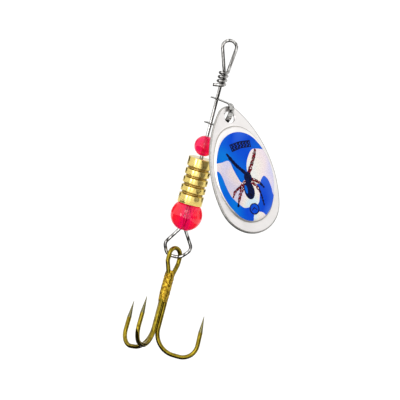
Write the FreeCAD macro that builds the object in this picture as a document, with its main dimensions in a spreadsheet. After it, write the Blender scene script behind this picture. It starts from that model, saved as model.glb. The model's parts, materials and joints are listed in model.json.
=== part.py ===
import FreeCAD, Part
import math
import os

import Sketcher
from FreeCAD import Placement, Rotation, Vector

# Inline spinner, millimetres.  The origin is where a line or snap pulls on the line eye:
# the inside of its top.  +Z runs up along the straight wire, and depths are measured down
# from the origin.  The rear loop lies in the XZ plane.

DIMENSIONS = [
    ("wire_radius", 0.325, "shaft wire, radius"),
    ("eye_bend_radius", 1.32, "line eye, radius of its round top"),
    ("eye_left_corner", 2.06, "line eye, corner of the left strand, left of the shaft"),
    ("eye_right_corner", 1.26, "line eye, corner of the right strand, right of the shaft"),
    ("eye_root_depth", 5.80, "line eye, where the strands leave the shaft line"),
    ("eye_root_radius", 2.00, "line eye, bend where its strands meet"),
    ("eye_start_rise", 0.60, "line eye, straight start off the first wrap"),
    ("eye_start_radius", 0.50, "line eye, bend above that start"),
    ("wrap_radius", 0.70, "wraps, radius of their centre line"),
    ("wrap_pitch", 0.82, "wraps, pitch"),
    ("wrap_turns", 3.25, "wraps, turns round the shaft"),
    ("wrap_top_depth", 5.75, "wraps, start of the first turn"),
    ("wrap_tail", 1.50, "wraps, cut tail"),
    ("strand_offset", 0.42, "strands in the rear bead, offset from its axis"),
    ("strand_split_depth", 30.60, "shaft, where it leaves the axis inside the body's cup"),
    ("strand_split_drop", 1.60, "shaft, height of its sideways step"),
    ("strand_split_radius", 1.50, "shaft, bends of that step"),
    ("strand_low_depth", 37.30, "strands, where they leave the rear bead"),
    ("strand_end_depth", 32.90, "return tail, its cut end inside the rear bead"),
    ("loop_half_width", 2.71, "rear loop, corners either side"),
    ("loop_corner_depth", 40.90, "rear loop, height of those corners"),
    ("loop_bottom_depth", 43.06, "rear loop, centre line of its bottom"),
    ("loop_entry_radius", 0.80, "rear loop, bends under the rear bead"),
    ("loop_corner_radius", 1.25, "rear loop, bends at the corners either side"),
    ("loop_left_foot", 1.76, "rear loop, left end of its bottom"),
    ("loop_right_foot", 0.90, "rear loop, right end of its bottom"),
    ("loop_left_foot_radius", 1.50, "rear loop, bend at the left end of its bottom"),
    ("loop_right_foot_radius", 2.00, "rear loop, bend at the right end of its bottom"),
    ("ear_radius", 1.30, "clevis, round ears"),
    ("strip_half_width", 0.60, "clevis, half the strip's width"),
    ("strip_thickness", 0.28, "clevis, strip thickness"),
    ("ear_hole_radius", 0.40, "clevis, holes for the shaft"),
    ("clevis_depth", 16.15, "clevis, middle of the lower ear"),
    ("clevis_height", 4.95, "clevis, between the ears' middles"),
    ("clevis_reach", 5.10, "clevis, shaft to the middle of the strip"),
    ("upper_bend", 1.30, "clevis, radius of the upper bend"),
    ("clevis_azimuth", -50.0, "clevis, direction round the shaft, degrees from +X"),
    ("hinge_angle", 19.8, "blade hinge, place along the lower bend, degrees"),
    ("blade_length", 25.20, "blade, tip to tip"),
    ("blade_thickness", 0.60, "blade, sheet thickness"),
    ("blade_top_radius", 2.60, "blade, round narrow end"),
    ("blade_bottom_radius", 6.80, "blade, round broad end"),
    ("blade_side_radius", 20.70, "blade, side arcs"),
    ("blade_hole_radius", 1.15, "blade, clevis hole"),
    ("blade_hole_margin", 1.10, "blade, metal above the hole"),
    ("dome_centre", 5.00, "blade, dome centre above the broad end's centre"),
    ("dome_half_length", 9.50, "blade, dome"),
    ("dome_half_width", 6.40, "blade, dome"),
    ("dome_rise", 1.20, "blade, dome above the flat rim"),
    ("foil_thickness", 0.08, "printed foil"),
    ("foil_edge_angle", 20.0, "printed foil, latitude of its edge on the dome"),
    ("blade_swing", 27.5, "blade, swung out from the shaft at rest, degrees"),
    ("blade_roll", 17.0, "blade, rolled in its own plane at rest, degrees"),
    ("blade_twist", -11.0, "blade, turned on the clevis at rest, degrees"),
    ("front_bead_radius", 2.00, "front bead"),
    ("front_bead_depth", 20.70, "front bead, centre"),
    ("bead_bore_radius", 0.40, "front bead, bore"),
    ("body_radius", 2.45, "brass body"),
    ("body_length", 9.15, "brass body"),
    ("body_bottom_depth", 32.30, "brass body, rear face"),
    ("body_bore_radius", 0.40, "brass body, bore"),
    ("groove_first", 1.80, "brass body, rear face to the first groove"),
    ("groove_width", 0.60, "brass body, groove at the surface"),
    ("groove_floor", 0.24, "brass body, flat floor of a groove"),
    ("groove_depth", 0.38, "brass body, groove"),
    ("groove_pitch", 1.65, "brass body, groove to groove"),
    ("cup_radius", 2.20, "brass body, mouth of the 45 degree cup for the bead"),
    ("rear_bead_radius", 3.10, "rear bead"),
    ("rear_bead_depth", 34.60, "rear bead, centre"),
    ("rear_bore_radius", 1.05, "rear bead, bore for two strands"),
    ("hook_wire_radius", 0.43, "treble hook, wire radius"),
    ("hook_hang", -0.20, "treble hook, where it hangs along the rear loop"),
    ("hook_tilt", -16.0, "treble hook, swung forward at rest, degrees"),
    ("hook_eye_rise", 1.63, "treble hook, eye's top centre line above the hinge"),
    ("hook_eye_half", 1.55, "treble hook, eye, half its centre width"),
        ("hook_eye_bend", 1.52, "treble hook, eye, radius of its round top"),
    ("hook_eye_azimuth", 227.0, "treble hook, eye plane, degrees from +X"),
    ("hook_eye_neck", 1.20, "treble hook, where the eye starts to close, below the hinge"),
    ("hook_neck_radius", 1.00, "treble hook, bends under the eye"),
    ("shank_top_radius", 2.00, "treble hook, bends at the top of the shank"),
    ("shank_top", 3.75, "treble hook, top of the shank, below the hinge"),
    ("shank_offset", 0.53, "treble hook, each wire from the shank's axis"),
    ("hook_drop", 18.60, "treble hook, centre line of the bends below the hinge"),
    ("hook_reach", 8.95, "treble hook, outer side of the bend from the axis"),
    ("point_reach", 8.65, "treble hook, point from the axis"),
    ("point_drop", 9.70, "treble hook, points below the hinge"),
    ("bend_inner", 4.20, "treble hook, bend radius beside the shank"),
    ("bend_outer", 3.00, "treble hook, bend radius beside the point"),
    ("point_taper", 3.30, "treble hook, ground taper"),
    ("point_tip", 0.04, "treble hook, radius of the very tip"),
    ("hook_azimuth", 9.0, "treble hook, first point, degrees from +X"),
    ("single_start", 3.10, "treble hook, cut end of the third wire, below the hinge"),
    ("braze_start", 3.30, "treble hook, top of the braze, below the hinge"),
    ("braze_length", 6.40, "treble hook, braze"),
    ("braze_radius", 1.00, "treble hook, braze"),
]

NODES = ["wire_shaft", "clevis", "blade", "blade_decal", "front_bead", "brass_body",
         "rear_bead", "hook_double_wire", "hook_single_wire", "hook_braze"]
GROOVES = 4
THIRD_OF_TURN = 120.0

doc = FreeCAD.newDocument("InlineSpinner")
sheet = doc.addObject("Spreadsheet::Sheet", "Dimensions")
for row, (alias, value, note) in enumerate(DIMENSIONS, start=1):
    sheet.set(f"A{row}", note)
    sheet.set(f"B{row}", str(value))
    sheet.setAlias(f"B{row}", alias)
doc.recompute()


def dim(alias):
    """The sheet's value of one dimension, as a plain number."""
    return float(getattr(sheet, alias))


def bind(feature, **expressions):
    """Tie properties to the sheet; a name such as Placement_Base_z reaches inside one."""
    for name, expression in expressions.items():
        feature.setExpression(name.replace("_", "."), expression)


def primitive(kind, name, **expressions):
    feature = doc.addObject(f"Part::{kind}", name)
    bind(feature, **expressions)
    return feature


def cut(name, base, tool):
    feature = doc.addObject("Part::Cut", name)
    feature.Base = base
    feature.Tool = tool
    return feature


def polar(radius, azimuth, level):
    """A point at a radius and azimuth (degrees) round the Z axis."""
    angle = math.radians(azimuth)
    return Vector(radius * math.cos(angle), radius * math.sin(angle), level)


# ---------------------------------------------------------------- round wire along a route

def rounded_route(points, radii):
    """Straight edges through the points, with each inner corner rounded to its radius."""
    edges = []
    start = points[0]
    for before, corner, after, radius in zip(points, points[1:], points[2:], radii):
        to_start = (before - corner).normalize()
        to_end = (after - corner).normalize()
        half_turn = (math.pi - to_start.getAngle(to_end)) / 2
        setback = radius * math.tan(half_turn)
        arc_start = corner + to_start * setback
        arc_end = corner + to_end * setback
        bisector = (to_start + to_end).normalize()
        nearest = corner + bisector * (radius / math.cos(half_turn) - radius)
        edges.append(Part.LineSegment(start, arc_start).toShape())
        edges.append(Part.Arc(arc_start, nearest, arc_end).toShape())
        start = arc_end
    edges.append(Part.LineSegment(start, points[-1]).toShape())
    return edges


def rod_piece(edge, radius):
    """Round rod along one straight or circular edge."""
    start = edge.valueAt(edge.FirstParameter)
    if isinstance(edge.Curve, Part.Line):
        return Part.makeCylinder(radius, edge.Length, start, edge.tangentAt(edge.FirstParameter))
    disc = Part.Face(Part.Wire(Part.makeCircle(radius, start, edge.tangentAt(edge.FirstParameter))))
    sweep = math.degrees(edge.LastParameter - edge.FirstParameter)
    return disc.revolve(edge.Curve.Center, edge.Curve.Axis, sweep)


def rod(edges, radius, extra=()):
    pieces = [rod_piece(edge, radius) for edge in edges]
    pieces.extend(extra)
    return pieces[0].fuse(pieces[1:]).removeSplitter()


def solid_of(name, shape):
    """A document object that holds one solid."""
    feature = doc.addObject("Part::Feature", name)
    feature.Shape = shape.Solids[0] if len(shape.Solids) == 1 else shape
    return feature


# ---------------------------------------------------------------- shaft

def wrap_solids():
    """The wraps round the shaft and the straight cut tail, and where the first turn starts."""
    radius = dim("wrap_radius")
    pitch = dim("wrap_pitch")
    fall = pitch * dim("wrap_turns")
    slope = math.atan2(pitch, 2 * math.pi * radius)
    low = -dim("wrap_top_depth") - fall
    helix = Part.makeHelix(pitch, fall, radius)
    helix.Placement = Placement(Vector(0, 0, low), Rotation(Vector(0, 0, 1), -90))
    low_end = Vector(0, -radius, low)
    along = Vector(math.cos(slope), 0, math.sin(slope))
    profile = Part.Wire(Part.makeCircle(dim("wire_radius"), low_end, along))
    turns = Part.Wire(helix.Edges).makePipeShell([profile], True, True)
    tail = Part.makeCylinder(dim("wire_radius"), dim("wrap_tail"), low_end, -along)
    top_end = Vector(radius, 0, -dim("wrap_top_depth"))
    up_and_back = Vector(0, math.cos(slope), math.sin(slope))
    return [turns, tail], top_end, up_and_back


def shaft_route(start, direction):
    """Centre line from the first wrap over the eye, down the shaft and round the rear loop."""
    crown = dim("wire_radius")
    offset = dim("strand_offset")
    split = -dim("strand_split_depth")
    exit_level = -dim("strand_low_depth")
    side = dim("loop_half_width")
    side_level = -dim("loop_corner_depth")
    bottom = -dim("loop_bottom_depth")
    entry = dim("loop_entry_radius")
    corner = dim("loop_corner_radius")
    step = dim("strand_split_radius")
    points_and_radii = [
        (start + direction * dim("eye_start_rise"), dim("eye_start_radius")),
        (Vector(dim("eye_right_corner"), 0, crown), dim("eye_bend_radius")),
        (Vector(-dim("eye_left_corner"), 0, crown), dim("eye_bend_radius")),
        (Vector(0, 0, -dim("eye_root_depth")), dim("eye_root_radius")),
        (Vector(0, 0, split), step),
        (Vector(-offset, 0, split - dim("strand_split_drop")), step),
        (Vector(-offset, 0, exit_level), entry),
        (Vector(-side, 0, side_level), corner),
        (Vector(-dim("loop_left_foot"), 0, bottom), dim("loop_left_foot_radius")),
        (Vector(dim("loop_right_foot"), 0, bottom), dim("loop_right_foot_radius")),
        (Vector(side, 0, side_level), corner),
        (Vector(offset, 0, exit_level), entry),
    ]
    points = [start] + [point for point, _ in points_and_radii]
    points.append(Vector(offset, 0, -dim("strand_end_depth")))
    return rounded_route(points, [radius for _, radius in points_and_radii])


def make_wire_shaft():
    wraps, start, direction = wrap_solids()
    return solid_of("wire_shaft", rod(shaft_route(start, direction), dim("wire_radius"), wraps))


# ---------------------------------------------------------------- clevis

def bend_band(name, radius, level, turned):
    """Quarter of a ring of strip: its middle radius as an expression, about an axis along Y."""
    outer = primitive("Cylinder", name + "_outer",
                      Radius=f"{radius} + Dimensions.strip_thickness / 2",
                      Height="2 * Dimensions.strip_half_width")
    inner = primitive("Cylinder", name + "_inner",
                      Radius=f"{radius} - Dimensions.strip_thickness / 2",
                      Height="2 * Dimensions.strip_half_width")
    outer.Angle = 90
    for tool in (outer, inner):
        tool.Placement = Placement(Vector(), Rotation(Vector(0, 1, 0), turned)
                                   * Rotation(Vector(1, 0, 0), 90))
        bind(tool, Placement_Base_x=f"Dimensions.clevis_reach - {radius}",
             Placement_Base_y="Dimensions.strip_half_width",
             Placement_Base_z=level)
    return cut(name, outer, inner)


def make_clevis():
    """Folded strip: two round ears on the shaft, joined by a band that the blade hangs on."""
    half = "Dimensions.strip_thickness / 2"
    height = "Dimensions.clevis_height"
    lower_radius = "(Dimensions.clevis_height - Dimensions.upper_bend)"
    parts = []
    legs = [("lower", "0", lower_radius), ("upper", height, "Dimensions.upper_bend")]
    for name, level, bend in legs:
        parts.append(primitive("Cylinder", name + "_ear", Radius="Dimensions.ear_radius",
                               Height="Dimensions.strip_thickness",
                               Placement_Base_z=f"{level} - {half}"))
        parts.append(primitive("Box", name + "_leg",
                               Length=f"Dimensions.clevis_reach - {bend}",
                               Width="2 * Dimensions.strip_half_width",
                               Height="Dimensions.strip_thickness",
                               Placement_Base_y="-Dimensions.strip_half_width",
                               Placement_Base_z=f"{level} - {half}"))
    parts.append(bend_band("lower_band", lower_radius, lower_radius, 90))
    parts.append(bend_band("upper_band", "Dimensions.upper_bend", lower_radius, 0))
    strip = doc.addObject("Part::MultiFuse", "strip")
    strip.Shapes = parts
    strip.Refine = True
    bore = primitive("Cylinder", "ear_bore", Radius="Dimensions.ear_hole_radius",
                     Height=f"{height} + 2", Placement_Base_z="-1")
    clevis = cut("clevis", strip, bore)
    clevis.Placement = Placement(Vector(), Rotation(Vector(0, 0, 1), dim("clevis_azimuth")))
    bind(clevis, Placement_Base_z="-Dimensions.clevis_depth")
    return clevis


# ---------------------------------------------------------------- blade

def origin_plane(body, role):
    return next(item for item in body.Origin.OriginFeatures if item.Role == role)


def new_sketch(body, name, role):
    sketch = body.newObject("Sketcher::SketchObject", name)
    sketch.AttachmentSupport = [(origin_plane(body, role), "")]
    sketch.MapMode = "FlatFace"
    return sketch


def constrain(sketch, *terms, drive=None):
    """Add one constraint, driven by an expression where one is given."""
    index = sketch.addConstraint(Sketcher.Constraint(*terms))
    if drive:
        sketch.setExpression(f"Constraints[{index}]", drive)


def circle_sketch(body, name, radius_alias):
    sketch = new_sketch(body, name, "XY_Plane")
    sketch.addGeometry(Part.Circle(Vector(), Vector(0, 0, 1), dim(radius_alias)), False)
    constrain(sketch, "Coincident", 0, 3, -1, 1)
    constrain(sketch, "Radius", 0, dim(radius_alias), drive=f"Dimensions.{radius_alias}")
    return sketch


def egg_arcs():
    """The blade's outline: broad end, right side, narrow end and left side, as tangent arcs."""
    narrow = dim("blade_top_radius")
    broad = dim("blade_bottom_radius")
    side = dim("blade_side_radius")
    spacing = dim("blade_length") - narrow - broad
    rise = (spacing ** 2 + (side - broad) ** 2 - (side - narrow) ** 2) / (2 * spacing)
    across = math.sqrt((side - broad) ** 2 - rise ** 2)
    low = math.atan2(rise, across)
    high = math.atan2(spacing - rise, across)
    circles = [(Vector(0, 0, 0), broad, math.pi + low, 2 * math.pi - low),
               (Vector(-across, rise, 0), side, -low, high),
               (Vector(0, spacing, 0), narrow, high, math.pi - high),
               (Vector(across, rise, 0), side, math.pi - high, math.pi + low)]
    return [Part.ArcOfCircle(Part.Circle(centre, Vector(0, 0, 1), radius), first, last)
            for centre, radius, first, last in circles]


def egg_sketch(body):
    """Egg of four tangent arcs, driven by the sheet; the broad end's centre is the origin."""
    sketch = new_sketch(body, "outline", "YZ_Plane")
    sketch.addGeometry(egg_arcs(), False)
    for first in range(4):
        constrain(sketch, "Tangent", first, 2, (first + 1) % 4, 1)
    constrain(sketch, "Coincident", 0, 3, -1, 1)
    constrain(sketch, "PointOnObject", 2, 3, -2)
    constrain(sketch, "DistanceY", -1, 1, 2, 3, dim("blade_length"),
              drive="Dimensions.blade_length - Dimensions.blade_top_radius"
                    " - Dimensions.blade_bottom_radius")
    constrain(sketch, "Radius", 0, dim("blade_bottom_radius"),
              drive="Dimensions.blade_bottom_radius")
    constrain(sketch, "Radius", 2, dim("blade_top_radius"), drive="Dimensions.blade_top_radius")
    constrain(sketch, "Radius", 1, dim("blade_side_radius"), drive="Dimensions.blade_side_radius")
    return sketch


def half_ellipsoid(name, inset, first_latitude):
    """Half an ellipsoid on the blade's back plane, all its radii less by the inset."""
    shape = primitive("Ellipsoid", name,
                      Radius1=f"Dimensions.blade_thickness + Dimensions.dome_rise - {inset}",
                      Radius2=f"Dimensions.dome_half_length - {inset}",
                      Radius3=f"Dimensions.dome_half_width - {inset}")
    shape.Angle1 = first_latitude
    shape.Placement = Placement(Vector(), Rotation(Vector(0, 1, 0), 90))
    bind(shape, Placement_Base_x="-Dimensions.blade_thickness / 2",
         Placement_Base_z="Dimensions.dome_centre")
    return shape


def blade_placement():
    """Hangs the blade on the clevis: rolled in its plane, swung out, then turned to the clevis."""
    lower_bend = dim("clevis_height") - dim("upper_bend")
    around = math.radians(dim("hinge_angle"))
    hinge = Vector(dim("clevis_reach") - lower_bend * (1 - math.cos(around)), 0,
                   lower_bend * (1 - math.sin(around)))
    hole = Vector(0, 0, dim("blade_length") - dim("blade_bottom_radius")
                  - dim("blade_hole_margin") - dim("blade_hole_radius"))
    attitude = (Rotation(Vector(0, 0, 1), dim("blade_twist"))
                * Rotation(Vector(0, 1, 0), -dim("blade_swing"))
                * Rotation(Vector(1, 0, 0), dim("blade_roll")))
    turn = Rotation(Vector(0, 0, 1), dim("clevis_azimuth"))
    seat = turn.multVec(hinge) - Vector(0, 0, dim("clevis_depth"))
    whole = turn * attitude
    return Placement(seat - whole.multVec(hole), whole)


def make_blade():
    body = doc.addObject("PartDesign::Body", "blade_plate")
    pad = body.newObject("PartDesign::Pad", "plate")
    pad.Profile = egg_sketch(body)
    pad.SideType = "Symmetric"
    bind(pad, Length="Dimensions.blade_thickness")
    outer = half_ellipsoid("dome_outside", "0", 0)
    inner = half_ellipsoid("dome_inside", "Dimensions.blade_thickness", 0)
    raised = doc.addObject("Part::Fuse", "plate_and_dome")
    raised.Base = body
    raised.Tool = outer
    hollow = cut("hollow_plate", raised, inner)
    hole = primitive("Cylinder", "clevis_hole", Radius="Dimensions.blade_hole_radius",
                     Height="4 * Dimensions.blade_thickness")
    hole.Placement = Placement(Vector(), Rotation(Vector(0, 1, 0), 90))
    bind(hole, Placement_Base_x="-2 * Dimensions.blade_thickness",
         Placement_Base_z="Dimensions.blade_length - Dimensions.blade_bottom_radius"
                          " - Dimensions.blade_hole_margin - Dimensions.blade_hole_radius")
    blade = cut("blade", hollow, hole)
    blade.Placement = blade_placement()
    return blade


def make_blade_decal():
    """Printed foil that covers the dome down to a latitude."""
    foil = half_ellipsoid("foil_outside", "(-Dimensions.foil_thickness)", dim("foil_edge_angle"))
    dome = half_ellipsoid("foil_inside", "0", 0)
    decal = cut("blade_decal", foil, dome)
    decal.Placement = blade_placement()
    return decal


# ---------------------------------------------------------------- beads and body

def make_bead(name, radius, bore, depth):
    ball = primitive("Sphere", name + "_ball", Radius=f"Dimensions.{radius}")
    hole = primitive("Cylinder", name + "_bore", Radius=f"Dimensions.{bore}",
                     Height=f"4 * Dimensions.{radius}",
                     Placement_Base_z=f"-2 * Dimensions.{radius}")
    bead = cut(name, ball, hole)
    bind(bead, Placement_Base_z=f"-Dimensions.{depth}")
    return bead


def polygon_sketch(body, name, corners):
    """Closed polygon in the XZ plane; each corner's distances from the origin are driven."""
    sketch = new_sketch(body, name, "XZ_Plane")
    places = [Vector(x, z, 0) for (x, _), (z, _) in corners]
    for start, end in zip(places, places[1:] + places[:1]):
        sketch.addGeometry(Part.LineSegment(start, end), False)
    for index, ((x, x_drive), (z, z_drive)) in enumerate(corners):
        constrain(sketch, "Coincident", index, 1, (index - 1) % len(corners), 2)
        if x_drive:
            constrain(sketch, "DistanceX", -1, 1, index, 1, x, drive=x_drive)
        else:
            constrain(sketch, "PointOnObject", index, 1, -2)
        if z_drive:
            constrain(sketch, "DistanceY", -1, 1, index, 1, z, drive=z_drive)
        else:
            constrain(sketch, "PointOnObject", index, 1, -1)
    return sketch


def turned_cut(body, name, sketch):
    """Groove all round the body's Z axis."""
    groove = body.newObject("PartDesign::Groove", name)
    groove.Profile = sketch
    groove.ReferenceAxis = (sketch, ["V_Axis"])
    groove.Angle = 360
    return groove


def groove_corners():
    """A groove's section: open at the surface, narrower at its floor."""
    outside = (dim("body_radius") + dim("groove_depth"),
               "Dimensions.body_radius + Dimensions.groove_depth")
    floor = (dim("body_radius") - dim("groove_depth"),
             "Dimensions.body_radius - Dimensions.groove_depth")
    middle = dim("groove_first") + dim("groove_width") / 2
    middle_drive = "Dimensions.groove_first + Dimensions.groove_width / 2"
    wide = dim("groove_width") - dim("groove_floor") / 2
    wide_drive = "(Dimensions.groove_width - Dimensions.groove_floor / 2)"
    narrow = dim("groove_floor") / 2
    narrow_drive = "Dimensions.groove_floor / 2"
    return [(floor, (middle - narrow, f"{middle_drive} - {narrow_drive}")),
            (outside, (middle - wide, f"{middle_drive} - {wide_drive}")),
            (outside, (middle + wide, f"{middle_drive} + {wide_drive}")),
            (floor, (middle + narrow, f"{middle_drive} + {narrow_drive}"))]


def make_brass_body():
    """Turned body: rear face at z = 0 in its own frame, cupped there for the rear bead."""
    body = doc.addObject("PartDesign::Body", "brass_body")
    bar = body.newObject("PartDesign::Pad", "bar")
    bar.Profile = circle_sketch(body, "bar_section", "body_radius")
    bind(bar, Length="Dimensions.body_length")
    bore = body.newObject("PartDesign::Pocket", "bore")
    bore.Profile = circle_sketch(body, "bore_section", "body_bore_radius")
    bore.Type = "ThroughAll"
    bore.Reversed = True
    nothing = (0.0, None)
    cup_size = (dim("cup_radius"), "Dimensions.cup_radius")
    cup_sketch = polygon_sketch(body, "cup_section",
                                [(nothing, nothing), (cup_size, nothing), (nothing, cup_size)])
    turned_cut(body, "cup", cup_sketch)
    groove = turned_cut(body, "groove", polygon_sketch(body, "groove_section", groove_corners()))
    doc.recompute()
    rows = body.newObject("PartDesign::LinearPattern", "grooves")
    rows.Originals = [groove]
    rows.Direction = (origin_plane(body, "Z_Axis"), [""])
    rows.Mode = "Spacing"
    bind(rows, Offset="Dimensions.groove_pitch")
    rows.Occurrences = GROOVES
    body.Tip = rows
    bind(body, Placement_Base_z="-Dimensions.body_bottom_depth")
    return body


# ---------------------------------------------------------------- treble hook

def hook_points(azimuth):
    """One hook's route from its point to the top of its shank, round the shank's axis."""
    bend_level = -dim("hook_drop")
    return [polar(dim("point_reach"), azimuth, -dim("point_drop")),
            polar(dim("hook_reach"), azimuth, bend_level),
            polar(dim("shank_offset"), azimuth, bend_level)]


def ground_point(route):
    """Splits the taper off the first edge of a route, and returns it with the rest."""
    first = route[0]
    tip = first.valueAt(first.FirstParameter)
    along = first.tangentAt(first.FirstParameter)
    base = tip + along * dim("point_taper")
    cone = Part.makeCone(dim("point_tip"), dim("hook_wire_radius"), dim("point_taper"), tip, along)
    shortened = Part.LineSegment(base, first.valueAt(first.LastParameter)).toShape()
    return cone, [shortened] + route[1:]


def eye_point(side, level):
    """A point of the hook's eye; side is +1 or -1 along the eye's plane."""
    return polar(side * dim("hook_eye_half"), dim("hook_eye_azimuth"), level)


def hook_placement():
    """Hangs the hook on the bottom of the rear loop, tilted forward."""
    return Placement(Vector(dim("hook_hang"), 0, -dim("loop_bottom_depth")),
                     Rotation(Vector(1, 0, 0), dim("hook_tilt")))


def make_hook_double_wire():
    """One wire with a point at each end, doubled over to make the eye."""
    near_azimuth = dim("hook_azimuth") + 2 * THIRD_OF_TURN
    far_azimuth = dim("hook_azimuth")
    near = hook_points(near_azimuth)
    far = hook_points(far_azimuth)
    rise = dim("hook_eye_rise")
    neck = -dim("hook_eye_neck")
    shank = -dim("shank_top")
    middle = [polar(dim("shank_offset"), near_azimuth, shank),
              eye_point(1, neck), eye_point(1, rise), eye_point(-1, rise), eye_point(-1, neck),
              polar(dim("shank_offset"), far_azimuth, shank)]
    bends = [dim("bend_outer"), dim("bend_inner")]
    under_eye = [dim("shank_top_radius"), dim("hook_neck_radius")]
    eye_bend = dim("hook_eye_bend")
    radii = bends + under_eye + [eye_bend, eye_bend] + under_eye[::-1] + bends[::-1]
    route = rounded_route(near + middle + far[::-1], radii)
    near_cone, route = ground_point(route)
    backwards = [Part.LineSegment(far[0], route[-1].valueAt(route[-1].FirstParameter)).toShape()]
    far_cone, last = ground_point(backwards)
    shape = rod(route[:-1] + last, dim("hook_wire_radius"), [near_cone, far_cone])
    hook = solid_of("hook_double_wire", shape)
    hook.Placement = hook_placement()
    return hook


def make_hook_single_wire():
    """Third hook, whose shank is cut off under the eye."""
    azimuth = dim("hook_azimuth") + THIRD_OF_TURN
    points = hook_points(azimuth)
    points.append(polar(dim("shank_offset"), azimuth, -dim("single_start")))
    cone, route = ground_point(rounded_route(points, [dim("bend_outer"), dim("bend_inner")]))
    hook = solid_of("hook_single_wire", rod(route, dim("hook_wire_radius"), [cone]))
    hook.Placement = hook_placement()
    return hook


def make_hook_braze(wires):
    """Braze metal between the three shanks, shaped by the wires that it holds."""
    core = Part.makeCylinder(dim("braze_radius"), dim("braze_length"),
                             Vector(0, 0, -dim("braze_start") - dim("braze_length")))
    for wire in wires:
        local = wire.Shape.copy()
        local.Placement = Placement()
        core = core.cut(local)
    braze = solid_of("hook_braze", core)
    braze.Placement = hook_placement()
    return braze


# ---------------------------------------------------------------- build, check and write

make_wire_shaft()
make_clevis()
make_blade()
make_blade_decal()
make_bead("front_bead", "front_bead_radius", "bead_bore_radius", "front_bead_depth")
make_brass_body()
make_bead("rear_bead", "rear_bead_radius", "rear_bore_radius", "rear_bead_depth")
make_hook_braze([make_hook_double_wire(), make_hook_single_wire()])
doc.recompute()

for item in doc.Objects:
    if "Invalid" in item.State or "Error" in item.State:
        raise RuntimeError(f"{item.Name} did not build: {item.State}")

os.makedirs("parts", exist_ok=True)
for node in NODES:
    part = doc.getObject(node)
    part.Label = node
    shape = part.Shape
    if shape.isNull() or not shape.isValid():
        raise RuntimeError(f"{node} has no valid shape")
    box = shape.BoundBox
    print(f"{node:18s} solids {len(shape.Solids)}  volume {shape.Volume:8.3f}"
          f"  x {box.XMin:7.2f} {box.XMax:7.2f}  y {box.YMin:7.2f} {box.YMax:7.2f}"
          f"  z {box.ZMin:7.2f} {box.ZMax:7.2f}")
    shape.exportStep(f"parts/{node}.step")
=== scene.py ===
import json
import math

import bmesh
import bpy
import numpy as np
from mathutils import Matrix, Vector, noise


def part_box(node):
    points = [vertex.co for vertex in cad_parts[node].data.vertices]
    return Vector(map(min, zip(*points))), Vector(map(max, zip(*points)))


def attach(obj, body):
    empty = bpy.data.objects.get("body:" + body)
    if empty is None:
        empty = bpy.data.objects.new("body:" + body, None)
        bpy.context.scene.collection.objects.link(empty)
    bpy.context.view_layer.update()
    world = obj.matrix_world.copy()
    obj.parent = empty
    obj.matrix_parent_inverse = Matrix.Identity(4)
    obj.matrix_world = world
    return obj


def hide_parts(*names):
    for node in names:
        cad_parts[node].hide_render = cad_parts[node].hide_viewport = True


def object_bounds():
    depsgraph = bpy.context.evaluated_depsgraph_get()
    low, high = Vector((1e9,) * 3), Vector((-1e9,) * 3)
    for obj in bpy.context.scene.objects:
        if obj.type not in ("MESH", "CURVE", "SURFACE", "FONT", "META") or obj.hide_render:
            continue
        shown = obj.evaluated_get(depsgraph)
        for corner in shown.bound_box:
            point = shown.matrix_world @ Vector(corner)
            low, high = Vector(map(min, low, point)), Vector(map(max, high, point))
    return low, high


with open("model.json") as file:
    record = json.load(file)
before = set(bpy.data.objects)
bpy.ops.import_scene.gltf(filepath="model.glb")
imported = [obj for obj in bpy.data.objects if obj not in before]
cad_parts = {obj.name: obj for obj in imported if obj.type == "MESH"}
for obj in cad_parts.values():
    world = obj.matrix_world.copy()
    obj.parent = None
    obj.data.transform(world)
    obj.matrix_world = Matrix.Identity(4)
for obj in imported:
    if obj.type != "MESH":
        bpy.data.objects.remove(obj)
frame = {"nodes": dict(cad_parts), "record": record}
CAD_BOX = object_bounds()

MM = 0.001                      # the scene is in metres; the sizes below are in millimetres
JOINTS = {joint["name"]: joint for joint in frame["record"]["behaviour"]["joints"]}

# Blade: its own frame has the broad end's centre at the origin, +Z towards the narrow end,
# and +X out of the domed face.
BLADE_HIGH = 18.40
BLADE_LOW = -6.80
BLADE_HIGH_RADIUS = 2.60
BLADE_LOW_RADIUS = 6.80
BLADE_HALF_WIDTH = 7.27
BLADE_THICKNESS = 0.60
BLADE_EDGE_ROUND = 0.27
HOLE_LEVEL = 16.15
HOLE_RADIUS = 1.15
DOME_CENTRE = 5.00
DOME_HIGH = 14.40
DOME_LOW = -4.65
DOME_HIGH_RADIUS = 5.20
DOME_LOW_RADIUS = 5.50
DOME_HALF_WIDTH = 6.58
DOME_RISE = 1.15
DOME_STEP = 0.42                # the sharp part of the rise, at the dome's edge
DOME_STEP_WIDTH = 0.055         # of the dome's radius
FOIL_HIGH = 13.00
FOIL_LOW = -4.45
FOIL_HIGH_RADIUS = 5.20
FOIL_LOW_RADIUS = 5.00
FOIL_HALF_WIDTH = 6.30
FOIL_LIFT = 0.07
FOIL_SINK = 0.014               # how far the foil's underside reaches into the dome
CLEVIS_AZIMUTH = -50.0
BLADE_TWIST = -11.0
BLADE_SWING = 27.5
BLADE_ROLL = 17.0
ARC_POINTS = 120                # on each arc of an egg's outline
BLADE_SEGMENTS = 256
BLADE_DOME_ROWS = 44
BLADE_RIM_ROWS = 14
EDGE_STEPS = 8                  # facets round the blade's edge
HOLE_CHAMFER = 0.10
FOIL_SEGMENTS = 720
FOIL_ROWS = 150
PLAIN, EDGE, CREASE_SHADE = range(3)  # a sheet metal piece's materials; the edge one is darker and partly painted shade, the crease one is painted shade at the foot of the blade's step

HOOK_TILT = -16.0
HOOK_AZIMUTH = 9.0
SHANK_OFFSET = 0.53
HOOK_WIRE_RADIUS = 0.43
POINT_DROP = 9.70
POINT_TAPER = 3.30
POINT_CLEARANCE = 4.0           # the points are all farther than this from the shank's axis
STREAK_WANDER = 1.2             # rear bead: how far its painted dark streaks wander sideways
STREAK_REACH = 3.0              # and how far from its middle its painted tints go

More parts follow.
